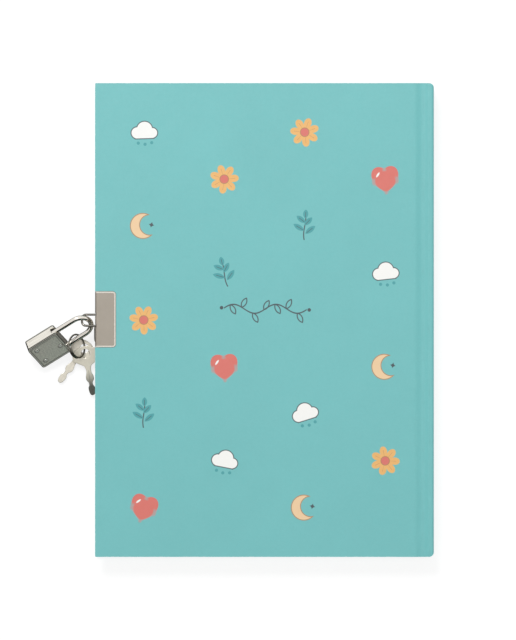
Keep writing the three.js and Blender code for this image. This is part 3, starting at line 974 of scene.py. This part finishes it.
def make_grooves():
    """The pressed strip beside the spine."""
    profile = groove_profile()
    count = len(profile)
    stride = 2 * count
    for side in ("rear", "front"):
        def height(depth):
            return BOOK_TOP - depth if side == "rear" else depth

        points, faces = [], []
        for j in range(GROOVE_ROWS):
            y = -HEAD_Y + 2 * HEAD_Y * j / (GROOVE_ROWS - 1)
            for lower in (0.0, GROOVE_SHEET):
                points += [(x, y, height(depth + lower)) for x, depth in profile]
        for j in range(GROOVE_ROWS - 1):
            a, b = j * stride, (j + 1) * stride
            for i in range(count - 1):
                faces.append((a + i, a + i + 1, b + i + 1, b + i))
                c, d = a + count + i, b + count + i
                faces.append((c, d, d + 1, c + 1))
            faces.append((a, b, b + count, a + count))
            faces.append((a + count - 1, a + stride - 1, b + stride - 1, b + count - 1))
        for a in (0, (GROOVE_ROWS - 1) * stride):
            for i in range(count - 1):
                faces.append((a + i, a + count + i, a + count + i + 1, a + i + 1))
        name = side + "_groove"
        work = bmesh.new()
        work.from_mesh(mesh_of(name, points, faces))
        strip = new_object(name, mesh_from(name, work), LAMINATE, sharp=60)
        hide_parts(side + "_gutter")
        z = height(GROOVE_DEPTH) * MM
        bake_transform(strip)


# Leaves

def dress(material, *nodes):
    """Gives CAD pieces a finish and leaves their shape as it is."""
    for node in nodes:
        materials = frame["nodes"][node].data.materials
        materials.clear()
        materials.append(material)


def make_signatures():
    """Each sewn bundle is a stack of sheets with slightly uneven edges and a round fold."""
    draw = random.Random(12)
    writing = paper("writing_paper", srgb(244, 241, 230), ruled=True)
    for number in range(1, 9):
        node = f"signature_{number:02d}"
        low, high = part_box(node)
        z0, z1 = low.z / MM, high.z / MM
        thick = (z1 - z0) / SHEETS_IN_BUNDLE
        fold = (z1 - z0) / 2
        middle = (z0 + z1) / 2
        work = bmesh.new()
        for i in range(SHEETS_IN_BUNDLE):
            a = z0 + i * thick
            b = a + thick * 0.9
            rise = min(fold, abs((a + b) / 2 - middle))
            back = LEAF_BACK_X - fold + math.sqrt(max(fold * fold - rise * rise, 0.0)) - 0.01
            fore = LEAF_FORE_X + draw.uniform(0.02, 0.3)
            head = LEAF_Y - draw.uniform(0.02, 0.22)
            tail = -LEAF_Y + draw.uniform(0.02, 0.22)
            corners = [(fore, tail), (back, tail), (back, head), (fore, head)]
            verts = [work.verts.new(Vector((x, y, z)) * MM) for z in (a, b) for x, y in corners]
            work.faces.new(verts[3::-1])
            work.faces.new(verts[4:])
            for k in range(4):
                n = (k + 1) % 4
                work.faces.new((verts[k], verts[n], verts[4 + n], verts[4 + k]))
        mesh = mesh_from(node + "_sheets", work)
        body = frame["nodes"][node]["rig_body"]
        new_object(node + "_sheets", mesh, writing, body, [node])
    endpaper = paper("endpaper", srgb(240, 236, 226))
    dress(endpaper, "front_flyleaf", "rear_flyleaf", "front_pastedown", "rear_pastedown")


def make_bands():
    """Head and tail bands: a ribbed cord over the ends of the folds."""
    weave = woven_band()
    for node in ("head_band", "tail_band"):
        refined(node, node + "_cord", weave, 0.25, 3)


def dress_hidden():
    dress(greyboard(), "front_board", "rear_board", "spine_board")
    dress(gauze(), "spine_lining")


# Clasp

def bail_path(kind):
    bail = BAILS[kind]
    turn = math.radians(bail["angle"])
    half = (bail["width"] - BAIL_WIRE) / 2
    middle = bail["offset"]

    def at(y, along):
        x = PIVOT_X + along * math.cos(turn)
        return Vector((x, y, bail["pivot_z"] + along * math.sin(turn)))

    reach = bail["reach"]
    corners = [
        at(middle + BAIL_SEAM / 2, 0),
        at(middle + half, 0),
        at(middle + half, reach),
        at(middle - half, reach),
        at(middle - half, 0),
        at(middle - BAIL_SEAM / 2, 0),
    ]
    return rounded_path(corners, [BAIL_CORNER, BAIL_END_CORNER, BAIL_END_CORNER, BAIL_CORNER])


def make_clasps():
    plate = clasp_nickel()
    steel = plated("bail_wire", srgb(128, 125, 118), 0.24)
    for kind in ("rear", "front"):
        refined(kind + "_clip", kind + "_clasp_plate", plate, 0.09, 2)
        mesh = tube(kind + "_bail_wire", bail_path(kind), BAIL_WIRE / 2, 20, cap=1)
        new_object(kind + "_bail_wire", mesh, steel, kind + "_bail", [kind + "_bail"], 50)


# Padlock

def cut(piece, cutter):
    """Takes one solid out of another and drops the cutter."""
    step = piece.modifiers.new("cut", "BOOLEAN")
    step.operation = "DIFFERENCE"
    step.solver = "EXACT"
    step.object = cutter
    graph = bpy.context.evaluated_depsgraph_get()
    mesh = bpy.data.meshes.new_from_object(piece.evaluated_get(graph))
    piece.modifiers.remove(step)
    piece.data = mesh
    bpy.data.objects.remove(cutter)


def box_object(low, high):
    work = bmesh.new()
    bmesh.ops.create_cube(work, size=1.0)
    for vert in work.verts:
        vert.co = Vector((low[i] if vert.co[i] < 0 else high[i]) * MM for i in range(3))
    mesh = bpy.data.meshes.new("cutter")
    work.to_mesh(mesh)
    work.free()
    cutter = bpy.data.objects.new("cutter", mesh)
    bpy.context.scene.collection.objects.link(cutter)
    return cutter


def shackle_path():
    path = [Vector((LEG_X, PIN_Y + (ARCH_Y - PIN_Y) * k / 14, 0)) for k in range(14)]
    for k in range(41):
        angle = math.pi * k / 40
        path.append(Vector((LEG_X * math.cos(angle), ARCH_Y + LEG_X * math.sin(angle), 0)))
    path += [Vector((-LEG_X, ARCH_Y - (ARCH_Y - PIN_Y + 0.6) * k / 14, 0)) for k in range(1, 15)]
    return path


def make_shackle():
    steel = plated("polished_shackle", srgb(226, 221, 212), 0.14, 0.05, 2.0, 0.00001)
    radius = SHACKLE_WIRE / 2
    mesh = tube("shackle_bar", shackle_path(), radius, 40, cap=1)
    bar = new_object("shackle_bar", mesh, steel, sharp=50)
    inner = LEG_X - radius
    high = (inner + NOTCH_DEPTH, NOTCH_Y + NOTCH_HEIGHT, SHACKLE_WIRE)
    cut(bar, box_object((inner - 1, NOTCH_Y, -SHACKLE_WIRE), high))
    bar.data.shade_smooth()
    bar.data.set_sharp_from_angle(angle=math.radians(50))
    set_in(bar, "shackle", ["shackle"], LOCK)


def rivet_mesh(x, y, low, high):
    """A shank with a low dome on each end."""
    sides, steps = 32, 8
    profile = [(0.0, low - RIVET_DOME)]
    for k in range(1, steps + 1):
        angle = k / steps * math.pi / 2
        profile.append((RIVET_HEAD * math.sin(angle), low - RIVET_DOME * math.cos(angle)))
    profile += [(RIVET_SHANK, low), (RIVET_SHANK, high)]
    for k in range(steps, 0, -1):
        angle = k / steps * math.pi / 2
        profile.append((RIVET_HEAD * math.sin(angle), high + RIVET_DOME * math.cos(angle)))
    profile.append((0.0, high + RIVET_DOME))
    work = bmesh.new()
    rings = []
    for radius, z in profile:
        if radius == 0.0:
            rings.append([work.verts.new(Vector((x, y, z)) * MM)])
            continue
        ring = []
        for across, along in circle(x, y, radius, sides):
            ring.append(work.verts.new(Vector((across, along, z)) * MM))
        rings.append(ring)
    for first, second in zip(rings, rings[1:]):
        for k in range(sides):
            n = (k + 1) % sides
            if len(first) == 1:
                work.faces.new((first[0], second[k], second[n]))
            elif len(second) == 1:
                work.faces.new((first[k], second[0], first[n]))
            else:
                work.faces.new((first[k], second[k], second[n], first[n]))
    return mesh_from("rivet", work)


def make_lock():
    face = lock_face()
    refined("lock_front_plate", "lock_front_face", face, 0.1, own=LOCK)
    refined("lock_back_plate", "lock_back_face", face, 0.1, own=LOCK)
    refined("lock_band", "lock_side_band", lock_side(), 0.07, own=LOCK)
    rivet_metal = plated("rivet_metal", srgb(236, 235, 226), 0.22, 0.08, metallic=0.7)
    front_seat = LOCK_DEPTH / 2 - LOCK_BORDER_DEPTH + RIVET_SEAT
    back_seat = -LOCK_DEPTH / 2 - RIVET_SEAT
    for number, (x, y) in enumerate(RIVETS, start=1):
        mesh = rivet_mesh(x, y, back_seat, front_seat)
        rivet = new_object(f"rivet_{number}", mesh, rivet_metal, sharp=50)
        set_in(rivet, "lock_case", [f"lock_rivet_{number}"], LOCK)
    steel = plated("plain_steel", srgb(142, 141, 136), 0.4, 0.1)
    for node in ("lock_heel_pin", "lock_bolt", "lock_spring"):
        refined(node, node + "_steel", steel, 0.03, own=LOCK)
    make_shackle()


# Ring and keys

def ring_path():
    low = (Vector((0, 0, -1)) + RING_NORMAL * RING_NORMAL.z).normalized()
    across = RING_NORMAL.cross(low)
    path = []
    steps = 200
    for i in range(steps + 1):
        turn = i / steps * (360 + RING_OVERLAP)
        t = min(max((turn - RING_OVERLAP) / RING_OVERLAP, 0.0), 1.0)
        lift = RING_STEP * (eased(t) - 1)
        angle = math.radians(RING_START - turn)
        offset = low * RING_RADIUS * math.cos(angle) + across * RING_RADIUS * math.sin(angle)
        path.append(RING_CENTRE + offset + RING_NORMAL * lift)
    return path


def make_ring():
    wire = plated("key_ring_wire", srgb(118, 115, 106), 0.25, 0.08)
    mesh = tube("key_ring_coil", ring_path(), RING_WIRE / 2, 20, cap=2)
    new_object("key_ring_coil", mesh, wire, "key_ring", ["key_ring"], 50)


def bezier(points, steps=8):
    start, one, two, end = (Vector(point) for point in points)
    curve = []
    for k in range(1, steps + 1):
        t = k / steps
        s = 1 - t
        curve.append(start * s**3 + one * 3 * s * s * t + two * 3 * s * t * t + end * t**3)
    return curve


def quadratic(start, middle, end, steps=8):
    start, middle, end = Vector(start), Vector(middle), Vector(end)
    third = start.lerp(middle, 2 / 3), end.lerp(middle, 2 / 3)
    return bezier((start, third[0], third[1], end), steps)


def key_outline():
    """The right half of the outline from the top down, then its mirror image."""
    wide, top, neck, waist = KEY_HALF_WIDTH, KEY_TOP, KEY_NECK, KEY_WAIST
    half = [Vector((0, top))]
    half += quadratic(half[-1], (1.5, top), (2.6, top - 0.45))
    half += quadratic(half[-1], (wide - 0.5, 1.9), (wide, -0.9))
    half.append(Vector((wide, -2)))
    half += quadratic(half[-1], (wide, -2.9), (wide - 0.8, -3.3))
    half.append(Vector((waist + 0.75, 0.7 - neck)))
    half += quadratic(half[-1], (waist + 0.15, -neck), (waist, -neck - 1.6))
    last = (waist, KEY_LENGTH - neck - 1.6)
    for stop in KEY_BITS:
        middle = (last[1] + stop[1]) / 2 - KEY_LENGTH
        end = (stop[0], stop[1] - KEY_LENGTH)
        half += bezier((half[-1], (last[0], middle), (stop[0], middle), end), 6)
        last = stop
    tip = (0.0, -KEY_LENGTH)
    half += bezier((half[-1], (last[0], 0.7 - KEY_LENGTH), (0.9, -KEY_LENGTH), tip))
    return half + [Vector((-point.x, point.y)) for point in reversed(half[1:-1])]


def cut_sheet(name, loops, thickness, round_edge):
    """A flat piece with holes, cut from sheet and eased all round."""
    curve = bpy.data.curves.new(name, "CURVE")
    curve.dimensions = "2D"
    curve.fill_mode = "BOTH"
    curve.extrude = (thickness / 2 - round_edge) * MM
    curve.bevel_depth = round_edge * MM
    curve.bevel_resolution = 2
    curve.offset = -round_edge * MM
    for loop in loops:
        spline = curve.splines.new("POLY")
        spline.points.add(len(loop) - 1)
        for point, spot in zip(spline.points, loop):
            point.co = (spot[0] * MM, spot[1] * MM, 0, 1)
        spline.use_cyclic_u = True
    holder = bpy.data.objects.new(name, curve)
    bpy.context.scene.collection.objects.link(holder)
    graph = bpy.context.evaluated_depsgraph_get()
    flat = bpy.data.meshes.new_from_object(holder.evaluated_get(graph))
    bpy.data.objects.remove(holder)
    work = bmesh.new()
    work.from_mesh(flat)
    bmesh.ops.remove_doubles(work, verts=work.verts, dist=SAME_POINT)
    return mesh_from(name, work)


def key_matrix(name):
    place = KEY_PLACES[name]
    turn = (
        Matrix.Rotation(math.radians(place["heading"]), 4, "Z")
        @ Matrix.Rotation(math.radians(place["roll"]), 4, "Y")
        @ Matrix.Rotation(math.radians(place["pitch"]), 4, "X")
    )
    turn.translation = Vector(place["hole"]) * MM
    return turn


def make_keys():
    finishes = {
        # The first key's blade turns dark grey towards its tip; the second's barely changes
        "key_1": key_nickel("dark_tipped_key_nickel", srgb(210, 205, 190), srgb(76, 78, 74), 0.95),
        "key_2": key_nickel("pale_key_nickel", srgb(196, 191, 178), srgb(186, 181, 169), 0.4),
    }
    for name, finish in finishes.items():
        loops = [key_outline(), circle(0, 0, KEY_HOLE)]
        mesh = cut_sheet(name + "_blank", loops, KEY_THICKNESS, KEY_EDGE)
        blank = new_object(name + "_blank", mesh, finish, sharp=14)
        set_in(blank, name, [name], key_matrix(name))


# Stage

def stage_sheet(name, points, faces, material):
    mesh = bpy.data.meshes.new(name)
    mesh.from_pydata(points, [], faces)
    mesh.materials.append(material)
    sheet = bpy.data.objects.new(name, mesh)
    bpy.context.scene.collection.objects.link(sheet)
    return sheet


def make_floor():
    """A pale floor that keeps the object's shadow."""
    paint = paint_for("pale_floor")
    matt = paint.add("BsdfDiffuse", inputs={"Color": (0.9, 0.9, 0.9, 1)})
    glow = paint.add("Emission", inputs={"Color": (1, 1, 1, 1), "Strength": FLOOR_GLOW})
    both = paint.add("MixShader", inputs=[paint.seen() * FLOOR_GLOW_SHARE, matt, glow])
    low, high = -FLOOR_HALF, FLOOR_HALF
    corners = [(low, low, 0), (high, low, 0), (high, high, 0), (low, high, 0)]
    floor = stage_sheet("floor", corners, [(0, 1, 2, 3)], paint.show(both))
    floor.location.z = -FLOOR_DROP


def make_card():
    """A dark card beside the padlock: an upright arc and a foot on the floor."""
    paint = paint_for("dark_card")
    tone = paint.add("BsdfDiffuse", inputs={"Color": (0.015, 0.015, 0.015, 1)})
    points, faces = [], []
    for k in range(CARD_STEPS + 1):
        angle = math.radians(CARD_FROM + CARD_TURN * k / CARD_STEPS)
        x, y = CARD_RADIUS * math.cos(angle), CARD_RADIUS * math.sin(angle)
        points += [(x, y, 0.0), (x, y, CARD_HEIGHT)]
        if k:
            a = 2 * k
            faces.append((a - 2, a, a + 1, a - 1))
    corner = len(points)
    (x0, x1), (y0, y1) = CARD_FOOT_X, CARD_FOOT_Y
    points += [(x0, y0, 0), (x1, y0, 0), (x1, y1, 0), (x0, y1, 0)]
    faces.append(tuple(range(corner, corner + 4)))
    card = stage_sheet("card", points, faces, paint.show(tone))
    card.visible_camera = False
    card.visible_diffuse = False
    card.visible_shadow = False
    card.visible_transmission = False


def add_lamp(name, place, size, power):
    """A square lamp that shines on the middle of the book."""
    lamp = bpy.data.lights.new(name, "AREA")
    lamp.shape = "SQUARE"
    lamp.size = size
    lamp.energy = power
    holder = bpy.data.objects.new(name, lamp)
    holder.location = place
    holder.rotation_euler = (-Vector(place)).to_track_quat("-Z", "Y").to_euler()
    bpy.context.scene.collection.objects.link(holder)


def light_scene():
    """Soft light from the head of the book, and an even pale surround."""
    world = bpy.data.worlds.new("studio")
    bpy.context.scene.world = world
    paint = Paint(world)
    strength = paint.seen().ramp(0.0, 1.0, (WORLD_LIGHT, 1.0), smooth=False)
    surround = paint.add("Background", inputs={"Color": (1, 1, 1, 1), "Strength": strength})
    paint.show(surround, "World")
    add_lamp("window", (-0.3, 0.85, 1.45), 0.5, 15.0)
    add_lamp("fill", (0.5, -0.4, 1.6), 1.2, 3.0)


place_camera()
make_covers()
make_grooves()
make_signatures()
make_bands()
dress_hidden()
make_clasps()
make_lock()
make_ring()
make_keys()
make_floor()
make_card()
light_scene()
bpy.context.scene.view_settings.view_transform = "Standard"
